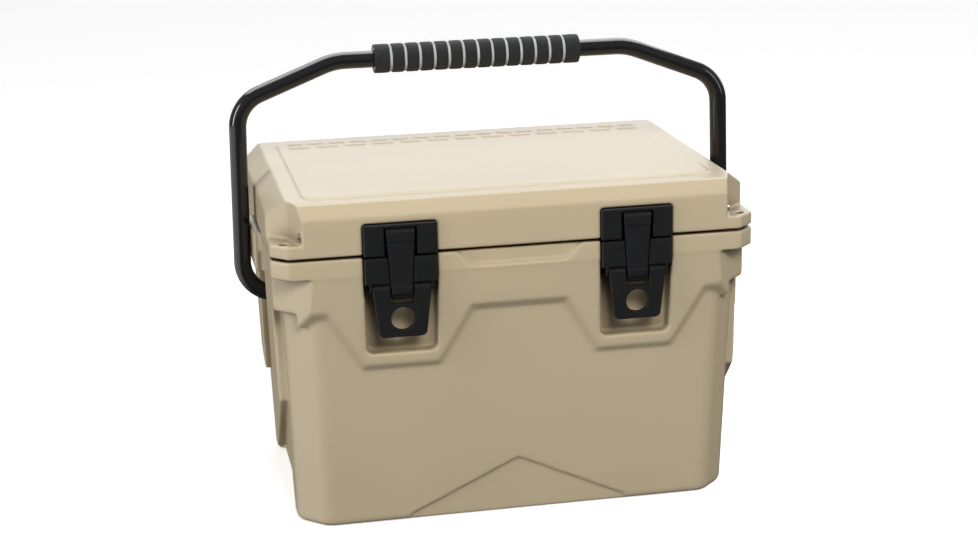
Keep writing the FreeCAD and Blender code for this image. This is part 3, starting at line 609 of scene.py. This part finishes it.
def add_area(name, location, target, size, power):
    data = bpy.data.lights.new(name, "AREA")
    data.shape = "RECTANGLE"
    data.size, data.size_y = size
    data.energy = power
    lamp = bpy.data.objects.new(name, data)
    lamp.location = location
    aim = Vector(target) - Vector(location)
    lamp.rotation_euler = aim.to_track_quat("-Z", "Y").to_euler()
    bpy.context.scene.collection.objects.link(lamp)
    return lamp


def add_sky(tree):
    """Dim soft surroundings, a bright wall behind the chest and a bright sweep low on its left."""
    background = tree.nodes["Background"]
    coords = tree.nodes.new("ShaderNodeTexCoord")
    parts = tree.nodes.new("ShaderNodeSeparateXYZ")
    tree.links.new(coords.outputs["Generated"], parts.inputs["Vector"])

    def band(source, *limits):
        """A smooth step from the first two limits to the last two."""
        made = tree.nodes.new("ShaderNodeMapRange")
        made.interpolation_type = "SMOOTHSTEP"
        for socket, value in zip(("From Min", "From Max", "To Min", "To Max"), limits):
            made.inputs[socket].default_value = value
        tree.links.new(source, made.inputs["Value"])
        return made.outputs["Result"]

    def combine(operation, first, second):
        made = tree.nodes.new("ShaderNodeMath")
        made.operation = operation
        tree.links.new(first, made.inputs[0])
        tree.links.new(second, made.inputs[1])
        return made.outputs["Value"]

    base = band(parts.outputs["Z"], -0.2, 0.3, 0.09, 0.24)
    behind = band(parts.outputs["Y"], 0.35, 0.85, 0.0, 2.1)
    beside = band(parts.outputs["X"], -0.35, 0.05, 0.1, 1.0)
    above = band(parts.outputs["Z"], -0.02, 0.06, 0.0, 1.0)
    below = band(parts.outputs["Z"], 0.42, 0.75, 1.0, 0.0)
    sideways = combine("MULTIPLY", behind, beside)
    wall = combine("MULTIPLY", sideways, combine("MULTIPLY", above, below))
    leftward = band(parts.outputs["X"], -0.45, -0.85, 0.0, 1.1)
    under = band(parts.outputs["Z"], -0.04, -0.16, 0.0, 1.0)
    sweep = combine("MULTIPLY", leftward, under)
    tree.links.new(combine("ADD", combine("ADD", base, wall), sweep), background.inputs["Strength"])
    background.inputs["Color"].default_value = (1.0, 1.0, 1.0, 1.0)


def add_backdrop(name, bm, glow):
    """A plain white surface round the chest that neither lights nor shades it."""
    mesh = bpy.data.meshes.new(name)
    bm.to_mesh(mesh)
    bm.free()
    paper = bpy.data.objects.new(name, mesh)
    bpy.context.scene.collection.objects.link(paper)
    paper.location.z = -PAPER_DROP
    paint = new_material(name, (0.85, 0.85, 0.85), 0.9,
                         Emission_Color=(1.0, 1.0, 1.0, 1.0), Emission_Strength=glow)
    add_bump(paint, [(300.0, 0.00005)])
    mesh.materials.append(paint)
    paper.visible_diffuse = False
    paper.visible_glossy = False
    paper.visible_shadow = False


def add_studio():
    world = bpy.data.worlds.new("studio")
    bpy.context.scene.world = world
    world.use_nodes = True
    add_sky(world.node_tree)
    lamps = {row[0]: add_area(*row) for row in LAMPS}
    lamps["key"].visible_glossy = False
    lamps["overhead_gloss"].visible_diffuse = False
    floor = bmesh.new()
    bmesh.ops.create_grid(floor, x_segments=1, y_segments=1, size=FLOOR_HALF)
    add_backdrop("floor_paper", floor, FLOOR_GLOW)
    wall = bmesh.new()
    bmesh.ops.create_cone(wall, cap_ends=False, segments=64, radius1=WALL_RADIUS,
                          radius2=WALL_RADIUS, depth=WALL_HEIGHT)
    add_backdrop("wall_paper", wall, WALL_GLOW)
    bpy.context.scene.view_settings.view_transform = "Standard"


add_camera()
add_studio()
shade_cad_nodes()
build_shells()
build_dashes()
build_latches()
build_tube()
build_grip()
